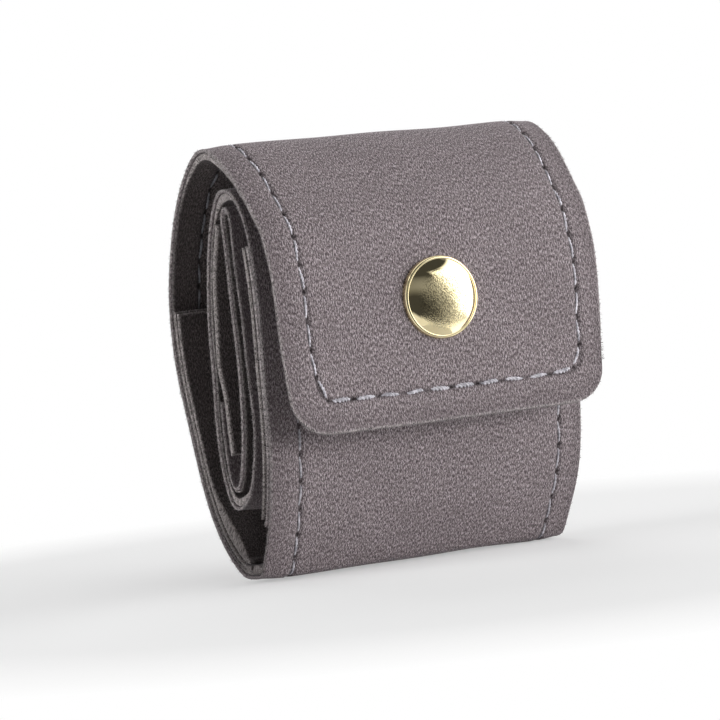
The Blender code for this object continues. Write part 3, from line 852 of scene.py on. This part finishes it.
def stitches(name, sheet, face, start, stop, material):
    """Lay the twisted stitches between the needle holes on one face of a sheet."""
    middles = (holes[:-1, 1] + holes[1:, 1]) / 2
    first = np.flatnonzero((middles >= start) & (middles < stop))
    t = np.linspace(0, 1, STITCH_RINGS)
    along = HOLE_SHARE + (1 - 2 * HOLE_SHARE) * t
    x, s = [start_hole[:, None] * (1 - along) + end_hole[:, None] * along
            for start_hole, end_hole in zip(holes[first].T, holes[first + 1].T)]
    at = sheet.faces(x, s)[face]
    outward = sheet.normal(x, s, face)
    run = unit(np.gradient(at, axis=1))
    outward = unit(outward - run * (outward * run).sum(-1, keepdims=True))
    side = np.cross(run, outward)
    at_tip = (middles[first] < TIP_INSET + ROW_CORNER / 2)[:, None]
    plump = 1 + STITCH_CHANGE * np.sin(CHANGE_TURN * first)[:, None]
    arch = np.sin(math.pi * t) ** np.where(at_tip, *ARCH_POWER)
    skew = STITCH_SKEW * np.sin(SKEW_TURN * first)[:, None] * np.cos(math.pi * t)
    at = at + side * skew[..., None]
    rise = np.where(at_tip, STITCH_RISE[0] * plump, STITCH_RISE[1]) * arch - STITCH_DIVE * (1 - arch)
    radius = np.broadcast_to(np.where(at_tip, *STRAND_RADIUS), s.shape)
    reach = np.where(at_tip, *STRAND_REACH) * plump * arch
    strands = []
    for strand in (0, math.pi):
        turn = strand + 2 * math.pi * t * STITCH_PITCH / TWIST_PITCH + first[:, None]
        centres = at + outward * (rise + reach * np.cos(turn))[..., None]
        centres = centres + side * (reach * np.sin(turn))[..., None]
        strands.append(rings_round(centres, outward, side, radius, STRAND_SIDES))
    return tubes(name, np.concatenate(strands), material)


# %% Loose fibres
FIBRE_RADIUS = 0.032 * MM
FIBRE_ROOT = 0.1 * MM
FIBRE_LEAST = 0.1
FIBRE_MORE = 0.32
FIBRE_BEND = 0.45
FIBRE_KNEE = 0.55
FIBRE_TAPER = np.array([1.0, 0.8, 0.25])
RIM_DEPTH = 0.07 * MM


def fibres_from(name, roots, directions, lengths, rng):
    """Grow a short bent fibre from each root."""
    bend = unit(directions + rng.normal(0, FIBRE_BEND, directions.shape))
    low = roots - directions * FIBRE_ROOT
    middle = roots + directions * (FIBRE_KNEE * lengths)[:, None]
    tip = middle + bend * ((1 - FIBRE_KNEE) * lengths)[:, None]
    centres = np.stack([low, middle, tip], 1)
    run = unit(np.gradient(centres, axis=1))
    first = unit(np.cross(run, rng.normal(0, 1, directions.shape)[:, None, :]))
    second = np.cross(run, first)
    radius = FIBRE_RADIUS * rng.uniform(0.7, 1.3, (len(roots), 1)) * FIBRE_TAPER
    return tubes(name, rings_round(centres, first, second, radius, 3), fluff)


def fringe(name, sheet, per_mm, seed):
    """Stand loose fibres on a sheet's cut rims."""
    rng = np.random.default_rng(seed)
    count = round(per_mm * (sheet.stop - sheet.start) / MM)
    s = rng.uniform(sheet.start + sheet.corner, sheet.stop, (2, count))
    left, right = sheet.sides(s)
    x = np.stack([left[0] + RIM_DEPTH, right[1] - RIM_DEPTH])
    out_x = np.repeat([[-1.0], [1.0]], count, 1)
    out_s = np.zeros_like(out_x)
    x, s, out_x, out_s = x.ravel(), s.ravel(), out_x.ravel(), out_s.ravel()
    if sheet.rims[0]:
        count = round(per_mm * 2 * half_width / MM)
        tip_s = np.full(count, sheet.start + RIM_DEPTH)
        left, right = sheet.sides(tip_s)
        tip_x = rng.uniform(left + RIM_DEPTH, right - RIM_DEPTH)
        over, cut = sheet.corner_cut(tip_x, left, right)
        sideways = np.where(tip_x < (left + right) / 2, -1, 1) * over / max(sheet.corner, RIM_DEPTH)
        x, s = np.concatenate([x, tip_x]), np.concatenate([s, tip_s + cut])
        out_x = np.concatenate([out_x, sideways])
        out_s = np.concatenate([out_s, -np.sqrt(np.maximum(1 - sideways ** 2, 0))])
    outer, inner = sheet.faces(x, s)[:2]
    through = rng.uniform(0.05, 0.95, (len(x), 1))
    roots = outer + (inner - outer) * through
    along_s = unit(sheet.faces(x, s + TINY)[0] - outer)
    out = np.array([1, 0, 0]) * out_x[:, None] + along_s * out_s[:, None]
    thick = unit(outer - inner)
    directions = unit(out + thick * (1 - 2 * through) + rng.normal(0, 0.5, out.shape))
    lengths = (FIBRE_LEAST + FIBRE_MORE * rng.uniform(0, 1, len(x)) ** 2) * MM
    return fibres_from(name, roots, directions, lengths, rng)


# %% [markdown]
# ## The strip, from flap to inner end
#
# The real strip is one piece, but here each ply is laid in three lengths: the flap, the top,
# and the wrap, which follows the roll. Their points and normals agree where they meet, and no
# seam shows.

# %% Lay the two plies
SUEDE_PLY = 0.82 * MM
LINING_PLY = 0.54 * MM
STRIP_STEP = 0.5 * MM
INNER_STEP = 1.0 * MM
RIM_FIBRES = 12
LINING_INSET = 0.3 * MM
SIDE_FLARE = 0.9 * MM
TOP_RISE = 0.4 * MM
TOP_REACH = 9.0 * MM
TOP_SHIFT = 2.0 * MM
TOP_LEAN = 0.15
mid_top = (flap_fold + back_fold) / 2
back_seam = back_fold + 9 * MM
suede_rows_stop = panel_top + 12 * MM
lining_rows_stop = foot - 30 * MM
inner_crest = strip.near(place(PANEL_TOP_SHARES[3], low=seat_high), foot)
# Where the lining bunches up along the strip, how high and how far
swells = [
    (mid_top + 4 * MM, 0.9 * MM, TOP_REACH), (foot + 0.5 * MM, 1.5 * MM, 4 * MM),
    (inner_crest + 0.5 * MM, 1.2 * MM, 4.2 * MM), (inner_crest + 20 * MM, 0.25 * MM, 15 * MM),
    (turn_bottom, 1.1 * MM, 5 * MM),
]


def stand_off(x, z, s):
    """Let the flap's sides stand off, held by the snap in the middle alone, and the top bulge."""
    share = np.clip(s / flap_fold, 0, 1)
    flared = SIDE_FLARE * (x / half_width) ** 2 * np.cos(math.pi / 2 * share) ** 2
    bulge = np.exp(-((s - mid_top - TOP_SHIFT) / TOP_REACH) ** 2) * (1 - TOP_LEAN * x / half_width)
    return flared + TOP_RISE * bulge


def bulk(s):
    """Bulk the lining up in the folds, where it is pushed together."""
    return sum(height * np.exp(-((s - middle) / reach) ** 2) for middle, height, reach in swells)


def fasten(piece, body):
    """Fasten a piece: a piece of the flap or the top stays baked where it lies, and any other follows
    the roll.
    """
    if body == "flap":
        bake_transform(piece)
    elif body == "top":
        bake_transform(piece)
    else:
        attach(piece, "roll")


def lay(name, sheet, material, step, body, seed, rows=None):
    """Lay a sheet, its stitches and its fibres, and fasten them."""
    piece = cloth(name + "_cloth", sheet, material, step)
    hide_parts(name)
    extras = [stitches(name + "_stitches", sheet, *rows)] if rows else []
    extras.append(fringe(name + "_fringe", sheet, RIM_FIBRES, seed))
    fasten(piece, body)
    for extra in extras:
        fasten(extra, body)


lengths = [("flap", "flap", 0.0, mid_top, (True, False), FLAP_CORNER),
           ("top", "top", mid_top, back_seam, (False, False), 0.0),
           ("wrap", "roll", back_seam, strip.length, (False, True), 0.0)]
plies = [("suede", suede, 0.0, SUEDE_PLY, (True, False), 0, suede_rows_stop),
         ("lining", lining, SUEDE_PLY, LINING_PLY, (False, True), 1, lining_rows_stop)]
seed = 0
for label, material, depth, thickness, sewn, face, rows_stop in plies:
    for part, body, start, stop, rims, corner in lengths:
        seed += 1
        sheet = Sheet(strip, start, stop, depth, thickness, corner, rims, sewn, lift=stand_off,
                      inset=(LINING_INSET if face else 0.0, 0.0), swell=bulk if face else None)
        sewn_with = shaded_lining_thread if face else thread if part == "flap" else dimmer_thread
        lay(part + "_" + label, sheet, material, STRIP_STEP, body, seed,
            rows=(face, start, min(stop, rows_stop), sewn_with))

# %% [markdown]
# ## Pocket, leaves and inner panel
#
# More layers are sewn into the strip: a pocket of two plies whose top edge crosses the inside
# of the back, a pair of leaves behind the front panel, and a short panel that hangs in the
# innermost turn. The pocket and the leaves follow the strip's line at a greater depth. The
# inner panel has a line of its own, inside the turn. Soft cloth that is gathered takes up
# room, so the pocket thickens over the bottom fold.

# %% Lay the pocket, the leaves and the inner panel
POCKET_DROP = 24.0 * MM
POCKET_HEM = 0.6 * MM
POCKET_PLY = 0.9 * MM
POCKET_FRONT_PLY = 0.85 * MM
LEAF_DROP = 15.0 * MM
LEAF_PLY = 1.0 * MM
LEAF_FOOT_HEIGHT = 7.5 * MM
POST_CLEARANCE = 6.75 * MM
LEAF_BOW = 0.9 * MM
LEAF_BOW_SPREAD = 10.0 * MM
LAYER_GAP = 0.12 * MM
GATHER_REACH = 22.0 * MM
GATHER_RISE, GATHER_FALL = 0.6 * GATHER_REACH, 0.36 * GATHER_REACH
GATHER_BULK = 2.0 * MM
INNER_DROP = 11.5 * MM
INNER_END_OVERLAP = 8.5 * MM
INNER_CLEARANCE = 0.4 * MM
INNER_PLY = 1.4 * MM
INNER_LEG_SHARES = (0.0, 0.3, 0.6, 0.8)
INNER_END_SHARES = (0.0, 0.5, 1.0)


def leaf_bow(x, z, s):
    """Bow a leaf back from the front panel, where the snap's post lies behind it."""
    away = np.clip((np.hypot(x, z - snap_height) - POST_CLEARANCE) / LEAF_BOW_SPREAD, 0, 1)
    return -LEAF_BOW * np.cos(math.pi / 2 * away) ** 2


def gathered(s):
    """Let the pocket's inner ply thicken above the bottom fold, where it is gathered."""
    rise = np.clip((s - pocket_end + GATHER_REACH) / GATHER_RISE, 0, 1)
    fall = np.clip((pocket_end - s) / GATHER_FALL, 0, 1)
    return GATHER_BULK * np.sin(math.pi / 2 * rise) ** 2 * np.sin(math.pi / 2 * fall) ** 2


def inner_panel_points():
    """Hang the panel inside the turn's back leg, then inside the strip's own end."""
    top = ROLL_HEIGHT - INNER_DROP
    end_top = strip.line[-1, 1]
    points = []
    for share in INNER_LEG_SHARES:
        height = top + (end_top - top) * share
        y = float(strip.at(strip.at_height(height, panel_top, turn_bottom))[0])
        points.append((y - STRIP_THICKNESS - INNER_CLEARANCE, height))
    for share in INNER_END_SHARES:
        height = end_top + INNER_CLEARANCE - INNER_END_OVERLAP * share
        y = float(strip.at(strip.at_height(height, end_fold, strip.length))[0])
        points.append((y - INNER_CLEARANCE, height))
    return points


pocket_start = strip.at_height(ROLL_HEIGHT - POCKET_DROP, back_fold, foot)
pocket_end = foot - POCKET_HEM
leaf_foot = strip.at_height(LEAF_FOOT_HEIGHT, foot, panel_top)
leaf_top = strip.at_height(ROLL_HEIGHT - LEAF_DROP, foot, panel_top)
inner_route = Route(smooth_line(inner_panel_points()))
within = STRIP_THICKNESS + LAYER_GAP
layers = {
    "pocket_back": (lining, Sheet(
        strip, pocket_start, pocket_end, within, POCKET_PLY, inset=(0.05 * MM, 0.4 * MM),
        wave_share=0.5)),
    # The pocket's front ply also takes the darker lining, for painted shade inside the pocket
    "pocket_front": (lining, Sheet(
        strip, pocket_start + 0.3 * MM, pocket_end - 0.5 * MM, within + 0.95 * MM,
        POCKET_FRONT_PLY, inset=(0.15 * MM, 0.5 * MM), wave_share=0.5, swell=gathered)),
    "leaf_front": (suede, Sheet(
        strip, leaf_foot, leaf_top, within, LEAF_PLY, inset=(0.3 * MM, 1.2 * MM), lift=leaf_bow,
        wave_share=0.5)),
    "leaf_back": (lining, Sheet(
        strip, leaf_foot + 0.8 * MM, leaf_top, within + 1.1 * MM, LEAF_PLY,
        inset=(0.2 * MM, 1.4 * MM), lift=leaf_bow, wave_share=0.5)),
    "inner_panel": (lining, Sheet(
        inner_route, 0.0, inner_route.length, 0.0, INNER_PLY, inset=(0.1 * MM, 0.9 * MM),
        edge_from=panel_top, wave_share=0.4)),
}
for name, (material, sheet) in layers.items():
    seed += 1
    lay(name, sheet, material, INNER_STEP, "roll", seed)

# %% [markdown]
# ## The snap's cap
#
# A snap cap is drawn from thin brass sheet: a shallow dome whose edge is rolled under into a
# bead. It is turned from one profile, because every cross-section through the axis is the
# same. The dome is part of a sphere, so its reflections stay clean, and the valley between
# dome and bead gives the thin dark line round it.

# %% Turn the cap
DOME_RADIUS = 9.5 * MM
DOME_EDGE = 5.66 * MM
CAP_TRIM = 0.1 * MM
BEAD_RADIUS = 0.36 * MM
BEAD_DEPTH = 0.5 * MM
BEAD_DROP = 0.46 * MM
BEAD_START = 1.2
SEAT_LIFT = 0.12 * MM
SHANK_RADIUS = 1.5 * MM
CAP_SIDES = 160
SHARP_FROM = math.radians(50)
DOME_STEPS = 22
BEAD_STEPS = 9


def turned(name, profile, material):
    """Turn a profile of (radius, y) round the snap's axis. It starts and ends on the axis."""
    angles = 2 * math.pi * np.arange(CAP_SIDES) / CAP_SIDES
    rings = [
        np.stack([r * np.cos(angles), np.full(CAP_SIDES, y), snap_height + r * np.sin(angles)], 1)
        for r, y in profile[1:-1]
    ]
    poles = [(0, profile[0][1], snap_height), (0, profile[-1][1], snap_height)]
    points = np.vstack([*rings, poles])
    index = np.arange(len(rings) * CAP_SIDES).reshape(len(rings), CAP_SIDES)
    following = np.roll(index, -1, axis=1)
    walls = quads(np.hstack([index, index[:, :1]]))[:, TURNED_ROUND]
    first, last = len(points) - 2, len(points) - 1
    fans = [(first, a, b) for a, b in zip(index[0].tolist(), following[0].tolist())]
    fans += [(last, b, a) for a, b in zip(index[-1].tolist(), following[-1].tolist())]
    mesh = bpy.data.meshes.new(name)
    mesh.from_pydata(points.tolist(), [], walls.tolist() + fans)
    piece = make_piece(name, mesh, material)
    mesh.set_sharp_from_angle(angle=SHARP_FROM)
    return piece


def cap_profile():
    """Draw the cap's dome, its rolled bead and its shank."""
    apex = cap_low.y
    seat = flap_face + SEAT_LIFT
    spans = np.linspace(0, math.asin(DOME_EDGE / DOME_RADIUS), DOME_STEPS)
    dome = [(DOME_RADIUS * math.sin(a), apex + DOME_RADIUS * (1 - math.cos(a))) for a in spans]
    bead_y = dome[-1][1] + BEAD_DROP
    bead = [
        (cap_radius - CAP_TRIM - BEAD_RADIUS * (1 + math.cos(a)), bead_y - BEAD_DEPTH * math.sin(a))
        for a in np.linspace(BEAD_START, math.pi, BEAD_STEPS)
    ]
    shank = [(cap_radius - CAP_TRIM, seat), (SHANK_RADIUS, seat), (SHANK_RADIUS, cap_high.y)]
    return [*dome, *bead, *shank, (0, cap_high.y)]


cap = turned("cap_dome", cap_profile(), gold)
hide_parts("snap_cap")
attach(cap, "flap")
metals = {"snap_socket": gold, "snap_stud": gold, "snap_post": steel, "socket_spring": steel}
for name, material in metals.items():
    node = bpy.data.objects[name]
    node.data.materials.clear()
    node.data.materials.append(material)
print("cap", round(2 * cap_radius / MM, 1), "mm across,", len(cap.data.polygons), "faces")

# %% [markdown]
# ## Camera, light and floor
#
# The camera was fitted to the photo with the cap as its scale: a long lens from the front
# left, a little above, and rolled a few degrees. The light is plain: a big lamp on the right,
# softer ones in front, on the left, above and behind. Metal shows the room, so a curved screen
# stands round the cap with the dark room and its bright window. Only reflections see it, and
# the cloth's light stays the same. The floor keeps the shadow near the roll and fades to white.

# %% Camera
AZIMUTH = -27.93
ELEVATION = 2.0
CAMERA_ROLL = math.radians(5.93)
FOCAL_PIXELS = 3406.0
IMAGE_SIDE = 720
CAMERA_DISTANCE = 532.6 * MM
SIDE_STEP = -3.175 * MM
RISE_STEP = -3.84 * MM
LOOK_AT = Vector((0, 17.70 * MM, 26.72 * MM))


def toward(azimuth, elevation):
    """Give the direction from the roll at an azimuth and an elevation in degrees."""
    a, e = math.radians(azimuth), math.radians(elevation)
    return Vector((math.sin(a) * math.cos(e), -math.cos(a) * math.cos(e), math.sin(e)))


forward = -toward(AZIMUTH, ELEVATION)
right = toward(AZIMUTH + 90, 0)
up = right.cross(forward)
tilted_right = math.cos(CAMERA_ROLL) * right - math.sin(CAMERA_ROLL) * up
tilted_up = math.sin(CAMERA_ROLL) * right + math.cos(CAMERA_ROLL) * up
camera_data = bpy.data.cameras.new("camera")
camera_data.lens = camera_data.sensor_width * FOCAL_PIXELS / IMAGE_SIDE
camera = in_scene("camera", camera_data)
turn = Matrix((tilted_right, tilted_up, -forward)).transposed().to_4x4()
place_at = LOOK_AT - forward * CAMERA_DISTANCE - tilted_up * RISE_STEP - tilted_right * SIDE_STEP
camera.matrix_world = Matrix.Translation(place_at) @ turn
bpy.context.scene.camera = camera
print("camera", [round(c, 4) for c in place_at])

# %% World and lamps
AMBIENT = 0.08
world = bpy.data.worlds.new("studio")
bpy.context.scene.world = world
world.use_nodes = True
tree = world.node_tree
rays = add(tree, "ShaderNodeLightPath").outputs
seen = maths(tree, "MAXIMUM", rays["Is Camera Ray"], rays["Is Glossy Ray"],
             rays["Is Transmission Ray"])
strength = maths(tree, "ADD", AMBIENT, maths(tree, "MULTIPLY", seen, 1 - AMBIENT))
fill(tree, tree.nodes["Background"], Color=(1, 1, 1, 1), Strength=strength)


def soft_lamp(name, azimuth, elevation, distance, side, power):
    """Hang a large soft lamp that faces the middle of the roll, unseen in the metal."""
    data = bpy.data.lights.new(name, "AREA")
    data.shape = "SQUARE"
    data.size = side
    data.energy = power
    lamp = in_scene(name, data)
    away = toward(azimuth, elevation)
    lamp.location = Vector((0, 0, ROLL_HEIGHT / 2)) + away * distance
    lamp.rotation_euler = (-away).to_track_quat("-Z", "Y").to_euler()
    lamp.visible_glossy = False


soft_lamp("side_lamp", 70, 14, 0.8, 0.75, 5.9)
soft_lamp("front_lamp", 22, 3, 0.9, 0.5, 6.6)
soft_lamp("left_lamp", -104, 10, 0.9, 0.5, 6.2)
soft_lamp("top_lamp", 20, 75, 0.9, 0.6, 1.2)
soft_lamp("back_lamp", 165, 35, 1.0, 0.7, 4.0)
print("lamps:", len(bpy.data.lights))

# %% The room that the cap reflects
SHELL_RADIUS = 48 * MM
WINDOW_SIDE = (0.575, 0.666, 0.476)
TABLE_SIDE = (-0.301, 0.713, -0.634)
UP, DOWN, INTO_ROLL = (0, 0, 1), (0, 0, -1), (0, 1, 0)
ROOM_GLOW = 0.055
# Each light in the room: the planes that bound it, as direction, low and high, and its strength
ROOM_LIGHTS = {
    "window": ([(WINDOW_SIDE, -0.1, 0.0), (DOWN, -0.78, -0.72), (UP, -0.46, -0.36)], 2.4),
    "haze": ([(WINDOW_SIDE, -0.82, -0.1), (DOWN, -0.7, -0.35)], 0.8),
    "above": ([(UP, 0.76, 0.84), (INTO_ROLL, -0.22, -0.1)], 0.8),
    "table": ([(TABLE_SIDE, -0.03, 0.05)], 0.8),
}

azimuths = np.linspace(-115, 115, 47)
elevations = np.linspace(-53, 86, 28)
points = [toward(a, e) * SHELL_RADIUS for e in elevations for a in azimuths]
index = np.arange(len(points)).reshape(len(elevations), len(azimuths))
shell_mesh = bpy.data.meshes.new("studio_shell")
shell_mesh.from_pydata(points, [], quads(index).tolist())
shell = in_scene("studio_shell", shell_mesh)
shell.location = (0, cap_low.y, snap_height)
material, tree, shader = new_material("room_in_reflections")
glow = ROOM_GLOW
for planes, power in ROOM_LIGHTS.values():
    shares = [
        spread(tree, measure(tree, "DOT_PRODUCT", place_in(tree), Vector(side) / SHELL_RADIUS),
               low, high)
        for side, low, high in planes]
    glow = maths(tree, "ADD", glow, maths(tree, "MULTIPLY", *shares, power))
fill(tree, shader, Base_Color=(0, 0, 0, 1), Specular_IOR_Level=0.0, Emission_Color=(1, 1, 1, 1),
     Emission_Strength=glow)
shell_mesh.materials.append(material)
shell.visible_camera = False
shell.visible_diffuse = False
shell.visible_transmission = False
shell.visible_shadow = False
print("screen round the cap:", len(shell_mesh.polygons), "faces")

# %% Floor
FLOOR_HALF = 3.0
FLOOR_DROP = 0.2 * MM
SHADOW_RANGE = (0.065, 0.13)
FLOOR_WHITE = 0.4
corners = [(x * FLOOR_HALF, y * FLOOR_HALF, 0) for x, y in ((-1, -1), (1, -1), (1, 1), (-1, 1))]
floor_mesh = bpy.data.meshes.new("floor")
floor_mesh.from_pydata(corners, [], [(0, 1, 2, 3)])
floor = in_scene("floor", floor_mesh)
floor.location.z = -FLOOR_DROP
floor_material, tree, shader = new_material("pale_floor")
fill(tree, shader, Base_Color=(0.9, 0.9, 0.9, 1), Roughness=1.0, Specular_IOR_Level=0.0)
faded = maths(tree, "MAXIMUM", FLOOR_WHITE,
              spread(tree, measure(tree, "LENGTH", place_in(tree)), *SHADOW_RANGE))
seen = add(tree, "ShaderNodeLightPath").outputs["Is Camera Ray"]
white = add(tree, "ShaderNodeEmission", Color=(1, 1, 1, 1), Strength=1.0)
blank = tree.nodes.new("ShaderNodeMixShader")
layers = (maths(tree, "MULTIPLY", faded, seen), shader.outputs[0], white.outputs[0])
for socket, value in zip(blank.inputs, layers):
    plug(tree, socket, value)
plug(tree, tree.nodes["Material Output"].inputs["Surface"], blank.outputs[0])
floor_mesh.materials.append(floor_material)
print("floor", 2 * FLOOR_HALF, "m wide")

# %% Finish
bpy.context.scene.view_settings.view_transform = "Standard"
